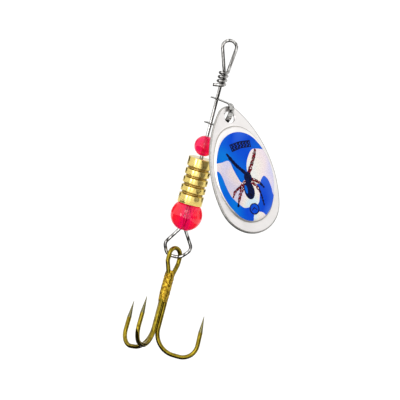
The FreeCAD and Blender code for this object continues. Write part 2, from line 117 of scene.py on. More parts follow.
SHAFT_TILT = 14.8               # the shaft's lean to the right in the picture, degrees
CAMERA_RISE = 8.0               # the camera looks down on the shaft's side by this much
PICTURE_WIDTH = 77.4            # millimetres across the picture at the object
CAMERA_DISTANCE = 600.0
CAMERA_TARGET = (1.8, 0.0, -31.1)
FLOOR_DROP = 30.0
SKY_STRENGTH = 1.30
CARD_DISTANCE = 420.0
FLOOR = (-6000.0, 6000.0, -6000.0, 6000.0)   # left, right, front and back
FLOOR_CARD = (-260.0, 90.0, -160.0, 70.0)


# ---------------------------------------------------------------- small geometry helpers

def turn(axis, degrees):
    return Matrix.Rotation(math.radians(degrees), 4, axis)


def joint_place(name):
    return Vector(JOINTS[name]["pos_m"]) / MM


def blade_frame():
    """Blade's own frame to the row frame, in millimetres."""
    attitude = (turn("Z", CLEVIS_AZIMUTH) @ turn("Z", BLADE_TWIST)
                @ turn("Y", -BLADE_SWING) @ turn("X", BLADE_ROLL))
    hole = Vector((0, 0, HOLE_LEVEL))
    return Matrix.Translation(joint_place("blade_swing")) @ attitude @ Matrix.Translation(-hole)


def hook_frame():
    """The hook's own frame, with its hinge at the origin and its shank down -Z."""
    return Matrix.Translation(joint_place("hook_swing")) @ turn("X", HOOK_TILT)


def new_piece(name, vertices, faces, materials, place=None, face_materials=None):
    """A smooth mesh object from millimetre coordinates in the frame that place gives."""
    place = place or Matrix.Identity(4)
    mesh = bpy.data.meshes.new(name)
    mesh.from_pydata([(place @ Vector(v)) * MM for v in vertices], [], faces)
    for material in materials:
        mesh.materials.append(material)
    if face_materials is not None:
        mesh.polygons.foreach_set("material_index", face_materials)
    mesh.polygons.foreach_set("use_smooth", [True] * len(mesh.polygons))
    mesh.update()
    piece = bpy.data.objects.new(name, mesh)
    bpy.context.scene.collection.objects.link(piece)
    return piece


def register(piece, body, slot, *nodes):
    """Says what a piece rides on and the CAD nodes that it stands for; its slot argument is not
    used.
    """
    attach(piece, body)
    if nodes:
        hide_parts(*nodes)


def round_corners(corners, steps=5):
    """Closed outline of (x, y, radius) corners, with each corner turned into an arc."""
    outline = []
    count = len(corners)
    for index, (x, y, radius) in enumerate(corners):
        here = Vector((x, y))
        if radius == 0:
            outline.append((x, y))
            continue
        before = (Vector(corners[index - 1][:2]) - here).normalized()
        after = (Vector(corners[(index + 1) % count][:2]) - here).normalized()
        half = before.angle(after) / 2
        centre = here + (before + after).normalized() * radius / math.sin(half)
        first = here + before * radius / math.tan(half) - centre
        last = here + after * radius / math.tan(half) - centre
        sweep = first.angle_signed(last)
        for step in range(steps + 1):
            outline.append(tuple(centre + Matrix.Rotation(-sweep * step / steps, 2) @ first))
    return outline


def lathe(outline, segments):
    """Vertices and faces of a closed (radius, height) outline turned about Z."""
    vertices = []
    faces = []
    rows = len(outline)
    for segment in range(segments):
        angle = 2 * math.pi * segment / segments
        vertices.extend((r * math.cos(angle), r * math.sin(angle), z) for r, z in outline)
    for segment in range(segments):
        this = segment * rows
        following = (segment + 1) % segments * rows
        for row in range(rows):
            below = (row + 1) % rows
            faces.append((this + row, this + below, following + below, following + row))
    return vertices, faces


def outward(piece):
    """Turns a closed mesh's faces outward."""
    mesh = bmesh.new()
    mesh.from_mesh(piece.data)
    bmesh.ops.recalc_face_normals(mesh, faces=mesh.faces)
    mesh.to_mesh(piece.data)
    mesh.free()
    return piece


def egg_side_radius(spacing, low_radius, high_radius, half_width):
    """Radius of the side arcs that give an egg of four tangent arcs its half width."""
    small, large = half_width + 0.01, 400.0     # bounds of the search by halves
    for _ in range(60):
        side = (small + large) / 2
        rise = (spacing ** 2 + (side - low_radius) ** 2 - (side - high_radius) ** 2) / (2 * spacing)
        across = math.sqrt(max((side - low_radius) ** 2 - rise ** 2, 0))
        if side - across > half_width and rise > 0:
            small = side
        else:
            large = side
    return side, rise, across


def egg_reach(low, high, low_radius, high_radius, half_width):
    """Function of angle: how far the egg's outline is from the dome's centre."""
    base = low + low_radius
    spacing = high - high_radius - base
    side, rise, across = egg_side_radius(spacing, low_radius, high_radius, half_width)
    lower = math.atan2(rise, across)
    upper = math.atan2(spacing - rise, across)
    arcs = [((0, base), low_radius, -math.pi / 2, -lower),
            ((-across, base + rise), side, -lower, upper),
            ((0, high - high_radius), high_radius, upper, math.pi / 2)]
    points = [(cx + radius * math.cos(angle), cz + radius * math.sin(angle) - DOME_CENTRE)
              for (cx, cz), radius, first, last in arcs
              for angle in np.linspace(first, last, ARC_POINTS)]
    angles = np.array([math.atan2(z, y) for y, z in points])
    reaches = np.array([math.hypot(y, z) for y, z in points])

    def reach(angle):
        folded = math.asin(max(-1.0, min(1.0, math.sin(angle))))
        return float(np.interp(folded, angles, reaches))
    return reach


BLADE_REACH = egg_reach(BLADE_LOW, BLADE_HIGH, BLADE_LOW_RADIUS, BLADE_HIGH_RADIUS,
                        BLADE_HALF_WIDTH)
DOME_REACH = egg_reach(DOME_LOW, DOME_HIGH, DOME_LOW_RADIUS, DOME_HIGH_RADIUS, DOME_HALF_WIDTH)
FOIL_REACH = egg_reach(FOIL_LOW, FOIL_HIGH, FOIL_LOW_RADIUS, FOIL_HIGH_RADIUS, FOIL_HALF_WIDTH)


def dome_height(share):
    """Height over the rim at a share of the way from the dome's centre to its edge."""
    if share >= 1:
        return 0.0
    climb = min((1 - share) / DOME_STEP_WIDTH, 1.0)
    step = DOME_STEP * climb * climb * (3 - 2 * climb)
    return step + (DOME_RISE - DOME_STEP) * (1 - share ** 2)


def blade_height(y, z):
    """Height of the blade's domed face over its rim, in the blade's own frame."""
    angle = math.atan2(z - DOME_CENTRE, y)
    return dome_height(math.hypot(y, z - DOME_CENTRE) / DOME_REACH(angle))


# ---------------------------------------------------------------- node materials

METAL = {"Metallic": 1.0}
INK = {"Specular IOR Level": 0.06}
PEARL_FILM = {"Metallic": 0.25, "Coat Weight": 0.4, "Coat Roughness": 0.08}
BLUE_TINTS = [(0.36, (0.0, 0.155, 0.50)), (0.48, (0.0, 0.085, 0.49)), (0.58, (0.0, 0.045, 0.46)),
              (0.70, (0.03, 0.115, 0.56))]
BLUE_PLACE = (0.006, 0, -0.002)  # metres, puts the azure at the foil's corners
PEARL_TINTS = [(0.30, (0.50, 0.62, 0.68)), (0.42, (0.68, 0.63, 0.57)), (0.52, (0.68, 0.58, 0.60)),
               (0.62, (0.52, 0.50, 0.68)), (0.74, (0.54, 0.62, 0.66))]
NAVY_TINTS = [(0.38, (0.001, 0.001, 0.010)), (0.62, (0.002, 0.006, 0.05))]
RUST_TINTS = [(0.38, (0.015, 0.001, 0.003)), (0.62, (0.17, 0.004, 0.012))]


def new_material(name, settings):
    """A material, its node tree and its shader, with these of the shader's sockets set."""
    material = bpy.data.materials.new(name)
    material.use_nodes = True
    shader = material.node_tree.nodes["Principled BSDF"]
    for socket, value in settings.items():
        shader.inputs[socket].default_value = value
    return material, material.node_tree, shader


def link(tree, output, target):
    tree.links.new(output, target)


def coordinates(tree, scale=(1, 1, 1), rotation=(0, 0, 0), location=(0, 0, 0)):
    """Object coordinates in metres, through a mapping."""
    source = tree.nodes.new("ShaderNodeTexCoord")
    mapping = tree.nodes.new("ShaderNodeMapping")
    mapping.inputs["Scale"].default_value = scale
    mapping.inputs["Rotation"].default_value = rotation
    mapping.inputs["Location"].default_value = location
    link(tree, source.outputs["Object"], mapping.inputs["Vector"])
    return mapping.outputs["Vector"]


def noise_value(tree, vector, per_mm, detail=3.0, roughness=0.55):
    """Noise with this many features to the millimetre."""
    texture = tree.nodes.new("ShaderNodeTexNoise")
    texture.inputs["Scale"].default_value = per_mm / MM
    texture.inputs["Detail"].default_value = detail
    texture.inputs["Roughness"].default_value = roughness
    link(tree, vector, texture.inputs["Vector"])
    return texture.outputs["Fac"]


def ramp(tree, value, stops):
    """Colour ramp from (position, colour) pairs; a number stands for a grey."""
    node = tree.nodes.new("ShaderNodeValToRGB")
    elements = node.color_ramp.elements
    while len(elements) < len(stops):
        elements.new(0.5)
    for element, (position, colour) in zip(elements, stops):
        element.position = position
        shade = colour if isinstance(colour, tuple) else (colour,) * 3
        element.color = (*shade, 1.0)
    link(tree, value, node.inputs["Fac"])
    return node.outputs["Color"]


def mix_colour(tree, factor, first, second):
    node = tree.nodes.new("ShaderNodeMix")
    node.data_type = "RGBA"
    for socket, value in (("Factor", factor), ("A", first), ("B", second)):
        target = next(s for s in node.inputs if s.name == socket and s.enabled)
        if isinstance(value, bpy.types.NodeSocket):
            link(tree, value, target)
        elif isinstance(value, tuple):
            target.default_value = (*value, 1.0)
        else:
            target.default_value = value
    return next(s for s in node.outputs if s.enabled)


def arithmetic(tree, operation, first, second=0.0):
    node = tree.nodes.new("ShaderNodeMath")
    node.operation = operation
    for socket, value in zip(node.inputs, (first, second)):
        if isinstance(value, bpy.types.NodeSocket):
            link(tree, value, socket)
        else:
            socket.default_value = value
    return node.outputs["Value"]


def add_bump(tree, shader, height, depth_mm):
    bump = tree.nodes.new("ShaderNodeBump")
    bump.inputs["Strength"].default_value = 1.0
    bump.inputs["Distance"].default_value = depth_mm * MM
    link(tree, height, bump.inputs["Height"])
    link(tree, bump.outputs["Normal"], shader.inputs["Normal"])


def skin(tree, shader, tone, worn, gloss, height, depth_mm):
    """A shader's colour, its roughness from a noise and a ramp's stops, and its relief."""
    link(tree, tone, shader.inputs["Base Color"])
    link(tree, ramp(tree, worn, gloss), shader.inputs["Roughness"])
    add_bump(tree, shader, height, depth_mm)


def drawn_wire_material():
    """Bright stainless wire: long faint die marks and a little variation in gloss."""
    material, tree, shader = new_material("drawn_wire", METAL)
    along = coordinates(tree, scale=(1, 1, 0.04))
    marks = noise_value(tree, along, 2.4, detail=4.0)
    patches = noise_value(tree, coordinates(tree), 0.5)
    tone = ramp(tree, marks, [(0.39, (0.04, 0.038, 0.035)), (0.47, (0.27, 0.26, 0.25)),
                              (0.60, (0.66, 0.65, 0.63))])
    skin(tree, shader, tone, patches, [(0.3, 0.06), (0.7, 0.13)], marks, 0.004)
    return material


def plated_strip_material():
    """Nickel-plated strip with faint rolling marks and handling scuffs."""
    material, tree, shader = new_material("nickel_strip", METAL)
    rolled = noise_value(tree, coordinates(tree, scale=(0.2, 1, 1)), 8.0, detail=4.0)
    scuffs = noise_value(tree, coordinates(tree), 2.5, detail=5.0)
    tone = ramp(tree, rolled, [(0.40, (0.07, 0.068, 0.065)), (0.55, (0.60, 0.59, 0.57))])
    skin(tree, shader, tone, scuffs, [(0.35, 0.06), (0.75, 0.18)], rolled, 0.004)
    return material


def blade_material():
    """Satin silver plate: fine random brushing with slow cloudy variation."""
    material, tree, shader = new_material("silver_plate", METAL)
    grain = noise_value(tree, coordinates(tree), 14.0)
    cloud = noise_value(tree, coordinates(tree), 0.25, detail=2.0)
    tone = ramp(tree, cloud, [(0.3, (0.82, 0.79, 0.775)), (0.7, (0.90, 0.87, 0.855))])
    skin(tree, shader, tone, grain, [(0.3, 0.30), (0.7, 0.42)], grain, 0.003)
    return material


def darker_band_material(name, dark, light):
    """Darker band of sheet metal, with fine marks across it: painted shade along the strip's edges
    and at the foot of the blade's step, and on the blade's sheared edge partly its own tone, partly
    painted shade.
    """
    material, tree, shader = new_material(name, METAL)
    marks = noise_value(tree, coordinates(tree), 5.0, detail=4.0, roughness=0.7)
    tone = ramp(tree, marks, [(0.35, dark), (0.65, light)])
    skin(tree, shader, tone, marks, [(0.3, 0.30), (0.7, 0.50)], marks, 0.02)
    return material


def print_material(name, settings, tints, per_mm, gloss, detail=1.0, place=(0, 0, 0)):
    """Printed film under clear lacquer, whose tint drifts over it."""
    material, tree, shader = new_material(name, settings)
    drift = noise_value(tree, coordinates(tree, location=place), per_mm, detail=detail)
    fine = noise_value(tree, coordinates(tree), 12.0, detail=2.0)
    gloss = [(0.3, gloss[0]), (0.7, gloss[1])]
    skin(tree, shader, ramp(tree, drift, tints), fine, gloss, fine, 0.002)
    return material


def bead_material(name, deep, pale, clarity, glow):
    """Fluorescent clear plastic with swirls in its tint and a slightly soft polish; its emission is
    painted glow, standing in for the fluorescence.
    """
    settings = {"Emission Strength": glow, "Transmission Weight": clarity, "IOR": 1.40}
    material, tree, shader = new_material(name, settings)
    swirl = noise_value(tree, coordinates(tree, scale=(1, 1, 0.5)), 0.7)
    fine = noise_value(tree, coordinates(tree), 5.0)
    tint = ramp(tree, swirl, [(0.35, deep), (0.65, pale)])
    # Painted glow: the tint is also emitted, whatever the lamps.
    link(tree, tint, shader.inputs["Emission Color"])
    skin(tree, shader, tint, fine, [(0.3, 0.02), (0.7, 0.06)], swirl, 0.006)
    return material


def rear_bead_material():
    """Fluorescent red plastic with painted light: a magenta middle and red rim by sideways
    distance, dark upright streaks painted for the wire and bore edges seen through, and emission as
    painted glow.
    """
    settings = {"Emission Strength": 0.11, "Transmission Weight": 0.68, "IOR": 1.45}
    material, tree, shader = new_material("rear_bead_plastic", settings)
    split = tree.nodes.new("ShaderNodeSeparateXYZ")
    link(tree, coordinates(tree), split.inputs["Vector"])
    sideways = arithmetic(tree, "ABSOLUTE", split.outputs["X"])
    swirl = noise_value(tree, coordinates(tree, scale=(1, 1, 0.3)), 1.0)
    shift = arithmetic(tree, "MULTIPLY", arithmetic(tree, "SUBTRACT", swirl, 0.5),
                       STREAK_WANDER * MM)
    share = arithmetic(tree, "DIVIDE", arithmetic(tree, "ADD", sideways, shift),
                       STREAK_REACH * MM)
    # Painted light across the bead: magenta in the middle, a dark streak for the wire seen through,
    # red towards the rim.
    tint = ramp(tree, share, [(0.0, (0.86, 0.006, 0.13)), (0.06, (0.42, 0.001, 0.03)),
                              (0.12, (0.86, 0.006, 0.14)), (0.30, (0.86, 0.006, 0.12)),
                              (0.45, (0.84, 0.009, 0.06)), (0.65, (0.84, 0.014, 0.016))])
    fine = noise_value(tree, coordinates(tree), 5.0)
    link(tree, tint, shader.inputs["Emission Color"])
    skin(tree, shader, tint, fine, [(0.3, 0.02), (0.7, 0.06)], swirl, 0.006)
    return material


def brass_material():
    """Turned brass: rings left by the tool, with a slow change of tone."""
    material, tree, shader = new_material("turned_brass", METAL)
    rings = noise_value(tree, coordinates(tree, scale=(0.02, 0.02, 1)), 11.0)
    blotches = noise_value(tree, coordinates(tree), 0.8)
    clean = ramp(tree, rings, [(0.3, (0.70, 0.52, 0.13)), (0.7, (0.86, 0.70, 0.24))])
    tone = mix_colour(tree, ramp(tree, blotches, [(0.45, 0.0), (0.8, 0.35)]), clean,
                      (0.50, 0.31, 0.09))
    skin(tree, shader, tone, rings, [(0.3, 0.10), (0.7, 0.20)], rings, 0.008)
    return material


def painted_groove_shade_material():
    """Painted shade down in the grooves: a darker brass tone that stands in for the shadow under
    each ring.
    """
    material, tree, shader = new_material("groove_painted_shade_brass", METAL)
    blotches = noise_value(tree, coordinates(tree), 3.0, detail=4.0)
    tone = ramp(tree, blotches, [(0.35, (0.24, 0.15, 0.035)), (0.7, (0.62, 0.44, 0.13))])
    skin(tree, shader, tone, blotches, [(0.3, 0.30), (0.7, 0.45)], blotches, 0.01)
    return material


def hook_material():
    """Bronze-lacquered hook wire; the ground points are bare, greyer steel."""
    material, tree, shader = new_material("bronze_hook", METAL)
    back = hook_frame().inverted()
    rotation = back.to_euler()
    own = coordinates(tree, rotation=tuple(rotation), location=tuple(back.translation * MM))
    split = tree.nodes.new("ShaderNodeSeparateXYZ")
    link(tree, own, split.inputs["Vector"])
    start = -(POINT_DROP + POINT_TAPER) * MM
    above = arithmetic(tree, "GREATER_THAN", split.outputs["Z"], start)
    x_squared = arithmetic(tree, "MULTIPLY", split.outputs["X"], split.outputs["X"])
    y_squared = arithmetic(tree, "MULTIPLY", split.outputs["Y"], split.outputs["Y"])
    away = arithmetic(tree, "ADD", x_squared, y_squared)
    outside = arithmetic(tree, "GREATER_THAN", away, (POINT_CLEARANCE * MM) ** 2)
    point = arithmetic(tree, "MULTIPLY", above, outside)
    streaks = noise_value(tree, coordinates(tree, scale=(1, 1, 0.15)), 2.5, detail=4.0)
    lacquer = ramp(tree, streaks, [(0.3, (0.14, 0.095, 0.006)), (0.7, (0.40, 0.30, 0.028))])
    tone = mix_colour(tree, point, lacquer, (0.19, 0.17, 0.075))
    skin(tree, shader, tone, streaks, [(0.3, 0.10), (0.7, 0.20)], streaks, 0.006)
    return material


def braze_material():
    """Copper-gold braze with a rough, droplet-like skin."""
    material, tree, shader = new_material("braze", METAL)
    drops = noise_value(tree, coordinates(tree), 2.2, detail=4.0, roughness=0.65)
    tone = ramp(tree, drops, [(0.38, (0.14, 0.06, 0.003)), (0.62, (0.70, 0.47, 0.045))])
    skin(tree, shader, tone, drops, [(0.3, 0.34), (0.7, 0.20)], drops, 0.08)
    return material


# ---------------------------------------------------------------- blade and foil

def polar_rows(shares, reaches, segments):
    """Rows of (y, z) points round the dome's centre, one row for each share and reach."""
    angles = [2 * math.pi * step / segments for step in range(segments)]
    return [[(share * reach(angle) * math.cos(angle),
              DOME_CENTRE + share * reach(angle) * math.sin(angle)) for angle in angles]
            for share, reach in zip(shares, reaches)]


def disc_faces(segments, rows, closing=None):
    """Faces from vertex 0 out through rings of points, and on to a closing vertex."""
    faces = []
    for segment in range(segments):
        following = (segment + 1) % segments
        faces.append((0, 1 + segment, 1 + following))
        for row in range(rows - 1):
            here = 1 + row * segments
            there = here + segments
            faces.append((here + segment, there + segment, there + following, here + following))
        if closing is not None:
            last = 1 + (rows - 1) * segments
            faces.append((last + following, last + segment, closing))
    return faces


def rim_reach(share):
    """Function of angle: the reach at a share of the way from the dome to the blade's edge."""
    def reach(angle):
        outer = BLADE_REACH(angle) - BLADE_EDGE_ROUND
        return DOME_REACH(angle) * (1 - share) + outer * share
    return reach


def build_blade(materials):
    """Stamped blade: flat rim, step, dome, rounded sheared edge and a chamfered hole."""
    segments = BLADE_SEGMENTS
    crease = BLADE_DOME_ROWS - 2                # the last row of faces on the step, at its foot, which gets painted shade
    rows = polar_rows([(step + 1) / BLADE_DOME_ROWS for step in range(BLADE_DOME_ROWS)],
                      [DOME_REACH] * BLADE_DOME_ROWS, segments)
    rows += polar_rows([1] * BLADE_RIM_ROWS, [rim_reach((step + 1) / BLADE_RIM_ROWS)
                                              for step in range(BLADE_RIM_ROWS)], segments)
    half = BLADE_THICKNESS / 2
    layers = [[(half + blade_height(y, z), y, z) for y, z in row] for row in rows]
    edge = []
    for step in range(EDGE_STEPS + 1):
        around = math.pi * step / EDGE_STEPS
        push = BLADE_EDGE_ROUND * math.sin(around)
        height = (half - BLADE_EDGE_ROUND) * np.sign(EDGE_STEPS // 2 - step)
        height += BLADE_EDGE_ROUND * math.cos(around)
        edge.append([(height, y + push * outwards[0], z + push * outwards[1])
                     for (y, z), outwards in zip(rows[-1], edge_directions(rows[-1]))])
    under = [[(x - BLADE_THICKNESS, y, z) for x, y, z in layer] for layer in layers[::-1]]
    stack = layers + edge[1:-1] + under
    vertices = [(half + blade_height(0, DOME_CENTRE), 0, DOME_CENTRE)]
    vertices += [point for layer in stack for point in layer]
    vertices.append((half + blade_height(0, DOME_CENTRE) - BLADE_THICKNESS, 0, DOME_CENTRE))
    kinds = [PLAIN] * (len(stack) + 1)          # of one segment, from centre to centre
    # The edge rows take the darker edge material, which is partly painted shade.
    kinds[len(layers):len(layers) + len(edge) - 1] = [EDGE] * (len(edge) - 1)
    # That row gets painted shade: a darker band at the foot of the step.
    kinds[1 + crease] = CREASE_SHADE
    faces = disc_faces(segments, len(stack), len(vertices) - 1)
    blade = outward(new_piece("spinner_blade", vertices, faces, materials, blade_frame(),
                              kinds * segments))
    pierce(blade)
    register(blade, "blade", "blade_metal", "blade")


def edge_directions(row):
    """Outward unit direction in the blade's plane at each point of a row."""
    directions = []
    for index in range(len(row)):
        before, after = row[index - 1], row[(index + 1) % len(row)]
        along = Vector((after[0] - before[0], after[1] - before[1])).normalized()
        directions.append((along.y, -along.x))
    return directions


def pierce(blade):
    """Cuts the clevis hole, with a small chamfer at both faces."""
    half = BLADE_THICKNESS / 2
    wide = HOLE_RADIUS + HOLE_CHAMFER
    cone_reach, cutter_half = 1.5, 2            # how far the cutter flares and how tall it is
    rings = [(wide + cone_reach, -cutter_half), (wide, -half),
             (HOLE_RADIUS, -half + HOLE_CHAMFER), (HOLE_RADIUS, half - HOLE_CHAMFER),
             (wide, half), (wide + cone_reach, cutter_half)]
    segments = 96
    vertices, faces = [(0, 0, -cutter_half), (0, 0, cutter_half)], []
    for segment in range(segments):
        angle = 2 * math.pi * segment / segments
        vertices += [(r * math.cos(angle), r * math.sin(angle), x) for r, x in rings]
    for segment in range(segments):
        here = 2 + segment * len(rings)
        there = 2 + (segment + 1) % segments * len(rings)
        faces.append((0, there, here))
        for row in range(len(rings) - 1):
            faces.append((here + row, there + row, there + row + 1, here + row + 1))
        faces.append((1, here + len(rings) - 1, there + len(rings) - 1))
    place = blade_frame() @ Matrix.Translation((0, 0, HOLE_LEVEL)) @ turn("Y", 90)
    cutter = outward(new_piece("hole_cutter", vertices, faces, [], place))
    subtract(blade, cutter)


def subtract(piece, cutter):
    """Cuts one piece by another, which is used up."""
    modifier = piece.modifiers.new("cut", "BOOLEAN")
    modifier.object = cutter
    modifier.operation = "DIFFERENCE"
    modifier.solver = "EXACT"
    bpy.context.view_layer.update()
    evaluated = piece.evaluated_get(bpy.context.evaluated_depsgraph_get())
    made = bpy.data.meshes.new_from_object(evaluated)
    piece.modifiers.clear()
    piece.data = made
    bpy.data.objects.remove(cutter)


def curve_point(a, b, c, d, x):
    """Point at share x between b and c on a Catmull-Rom curve."""
    return 0.5 * ((2 * b) + (c - a) * x + (2 * a - 5 * b + 4 * c - d) * x ** 2
                  + (3 * b - a - 3 * c + d) * x ** 3)


def smooth_loop(points, steps=8):
    """Closed curve through given points."""
    count = len(points)
    loop = []
    for index in range(count):
        near = [Vector(points[(index + shift) % count]) for shift in (-1, 0, 1, 2)]
        loop += [curve_point(*near, step / steps) for step in range(steps)]
    return np.array([tuple(p) for p in loop])


def smooth_path(points, steps=10):
    """Open curve through given points."""
    padded = [Vector(p) for p in [points[0]] + points + [points[-1]]]
    path = []
    for index in range(len(points) - 1):
        path += [curve_point(*padded[index:index + 4], step / steps)
                 for step in range(steps + 1)]
    return np.array([tuple(p) for p in path])


def inside(points, loop):
    """Which points lie inside a closed loop."""
    result = np.zeros(len(points), dtype=bool)
    y, z = points[:, 0], points[:, 1]
    for (y1, z1), (y2, z2) in zip(loop, np.roll(loop, -1, axis=0)):
        if z1 == z2:
            continue
        crosses = (z1 > z) != (z2 > z)
        result ^= crosses & (y < (y2 - y1) * (z - z1) / (z2 - z1) + y1)
    return result


def near_path(points, path, start_width, end_width):
    """Which points lie within a ragged stroke that goes from one width to another."""
    result = np.zeros(len(points), dtype=bool)
    for index, (y, z) in enumerate(path):
        share = index / (len(path) - 1)
        radius = (start_width * (1 - share) + end_width * share) / 2
        place = Vector((y * STROKE_GRAIN, z * STROKE_GRAIN, start_width))
        radius *= 1 + STROKE_RAGGEDNESS * noise.noise(place)
        result |= np.hypot(points[:, 0] - y, points[:, 1] - z) < radius
    return result


def in_ellipse(points, centre, half_sizes, lean):
    offset = points - np.array(centre)
    angle = math.radians(lean)
    along = offset[:, 0] * math.cos(angle) + offset[:, 1] * math.sin(angle)
    across = -offset[:, 0] * math.sin(angle) + offset[:, 1] * math.cos(angle)
    return (along / half_sizes[0]) ** 2 + (across / half_sizes[1]) ** 2 < 1


PEARL_AREAS = [
    [(-6.6, 7.9), (-4.6, 8.0), (-3.0, 8.1), (-2.5, 6.3), (-2.0, 4.7), (-1.4, 3.6), (-0.5, 4.1),
     (0.7, 3.9), (1.7, 3.2), (2.2, 1.9), (2.0, 0.5), (1.3, -0.9), (-0.4, -1.2), (-1.9, -1.2),
     (-3.1, -0.1), (-4.2, 1.4), (-4.8, 3.4), (-5.1, 5.2), (-5.6, 6.4), (-6.6, 6.6)],
    [(6.0, 9.3), (4.3, 9.7), (2.8, 9.7), (1.6, 8.6), (0.7, 7.1), (0.4, 5.6), (0.6, 4.3),
     (1.4, 3.3), (2.5, 2.9), (3.3, 3.8), (4.1, 4.3), (4.9, 3.5), (5.3, 2.0), (5.5, 0.4),
     (6.8, 0.4), (7.0, 5.0), (6.8, 8.6)],
    [(0.0, -2.8), (-0.1, -4.4), (1.7, -4.2), (2.7, -3.5), (2.2, -2.7), (1.2, -2.4)],
]
LEGS = [                        # width at the foot, then the line up to the body
    (0.55, [(-3.0, 9.4), (-2.4, 8.2), (-1.4, 6.7), (0.2, 5.0)]),
    (0.54, [(3.5, 9.5), (2.4, 7.7), (1.35, 6.2), (0.4, 4.9)]),
    (0.42, [(-3.8, 1.1), (-3.1, 2.1), (-1.7, 2.9), (0.0, 3.9)]),
    (0.42, [(-3.1, -0.7), (-2.6, 0.6), (-1.6, 2.3), (0.1, 3.5)]),
    (0.30, [(2.7, -1.2), (2.4, 1.1), (1.7, 2.6), (0.4, 3.7)]),
    (0.30, [(3.5, 2.1), (2.8, 2.9), (2.0, 3.5), (0.6, 4.1)]),
]
TAG_CORNERS = [(-2.0, 11.2), (0.2, 11.6), (2.9, 11.6), (2.8, 10.2), (0.4, 10.2), (-1.8, 9.7)]
TAG_FRAME = (0.08, 0.28)         # shares of the tag's width and height
TAG_BAR_PITCH = 0.72
TAG_BAR_WIDTH = 0.54
TAG_WAVE = (1.3, 0.8)           # slope and height of the bars' zigzag
BADGE_CENTRE = (0.3, -1.7)
BADGE_RADIUS = 1.0
BADGE_LINE = 0.12               # half widths of the badge's lines
CHEVRON_LINE = 0.13
CHEVRON_REACH = 0.62
CHEVRON_SLOPE = 0.9
CHEVRON_TOP = 0.25
BLUE, PEARL, NAVY, RUST = range(4)
BODY_PARTS = [                  # centre, half sizes, lean and ink
    ((0.25, 4.35), (0.88, 1.15), 0, NAVY),
    ((-0.05, 1.9), (1.15, 1.75), 4, NAVY),
    ((-0.70, 2.2), (0.28, 0.85), 4, BLUE),
]
LEG_ROOT_WIDTH = 0.70
ART_SHIFT = (0.25, 0.50)
STROKE_RAGGEDNESS = 0.75
STROKE_GRAIN = 4.3              # features of the ragged strokes and of the speckle, per mm
SPECKLE_GRAIN = 5.1
SPECKLE_SLICE = 0.4             # the slice of the noise that the speckle takes
SPECKLE_COVER = -0.38           # the lower, the fewer specks are missing


def speckled(points):
    """Broken cover of a rubbed print: which points keep their ink."""
    values = [noise.noise(Vector((y * SPECKLE_GRAIN, z * SPECKLE_GRAIN, SPECKLE_SLICE)))
              for y, z in points]
    return np.array(values) > SPECKLE_COVER


def foil_inks(points):
    """The ink at each point of the printed foil."""
    points = points + np.array(ART_SHIFT)
    inks = np.full(len(points), BLUE)
    for area in PEARL_AREAS:
        inks[inside(points, smooth_loop(area))] = PEARL
    pale = inks == PEARL
    strokes = np.zeros(len(points), dtype=bool)
    for width, leg in LEGS:
        strokes |= near_path(points, smooth_path(leg), width, LEG_ROOT_WIDTH)
    inks[strokes & pale & speckled(points)] = RUST
    inks[strokes & ~pale] = NAVY
    for centre, half_sizes, lean, ink in BODY_PARTS:
        inks[in_ellipse(points, centre, half_sizes, lean)] = ink
    tag = np.array(TAG_CORNERS)
    shrunk = tag + (tag.mean(axis=0) - tag) * np.array(TAG_FRAME)
    within = inside(points, tag)
    slope, height = TAG_WAVE
    wave = np.abs(np.mod(slope * points[:, 1], height) - height / 2)
    bars = np.mod(points[:, 0] + wave, TAG_BAR_PITCH) < TAG_BAR_WIDTH
    inks[within & (~inside(points, shrunk) | bars)] = NAVY
    offset = points - np.array(BADGE_CENTRE)
    distance = np.hypot(offset[:, 0], offset[:, 1])
    chevron = np.abs(offset[:, 1] + CHEVRON_SLOPE * np.abs(offset[:, 0]) - CHEVRON_TOP)
    inks[distance < BADGE_RADIUS] = BLUE
    inks[(distance < CHEVRON_REACH) & (chevron < CHEVRON_LINE)] = NAVY
    inks[np.abs(distance - BADGE_RADIUS) < BADGE_LINE] = NAVY
    return inks


def build_foil(materials):
    """Thin printed foil on the dome, with each ink's area cut into the mesh."""
    segments, count = FOIL_SEGMENTS, FOIL_ROWS
    shares = [(step + 1) / count for step in range(count)]
    rows = polar_rows(shares, [FOIL_REACH] * count, segments)
    half = BLADE_THICKNESS / 2
    flat = [(0.0, DOME_CENTRE)] + [point for row in rows for point in row]
    top = [(half + blade_height(y, z) + FOIL_LIFT, y, z) for y, z in flat]
    rim_start = 1 + (count - 1) * segments
    lower_rim = [(x - FOIL_LIFT - FOIL_SINK, y, z) for x, y, z in top[rim_start:]]
    vertices = top + lower_rim + [(half + blade_height(0, DOME_CENTRE) - FOIL_SINK,
                                   0, DOME_CENTRE)]
    faces = disc_faces(segments, count)
    printed = len(faces)
    under = len(top)
    for segment in range(segments):
        following = (segment + 1) % segments
        faces.append((rim_start + segment, under + segment, under + following,
                      rim_start + following))
        faces.append((under + following, under + segment, len(vertices) - 1))
    places = np.array(vertices)[:, 1:]
    centres = np.array([places[list(face)].mean(axis=0) for face in faces[:printed]])
    inks = list(foil_inks(centres)) + [PEARL] * (len(faces) - printed)
    foil = new_piece("printed_foil", vertices, faces, materials, blade_frame(),
                     [int(ink) for ink in inks])
    outward(foil)
    register(foil, "blade", "printed_foil", "blade_decal")


# ---------------------------------------------------------------- clevis

CLEVIS_LOW = -16.15
CLEVIS_HEIGHT = 4.95
CLEVIS_REACH = 5.10
CLEVIS_UPPER_BEND = 1.30
CLEVIS_LOWER_BEND = CLEVIS_HEIGHT - CLEVIS_UPPER_BEND
CLEVIS_HALF_WIDTH = 0.60
CLEVIS_HALF_THICKNESS = 0.11
CLEVIS_EDGE_ROUND = 0.05
EAR_RADIUS = 1.30
EAR_HOLE_RADIUS = 0.40
EAR_ARC = (178, 28)             # the part of the ear's outline off the strip, degrees
EAR_STEPS = 30
LEG_STEPS = 10
BEND_STEPS = 24


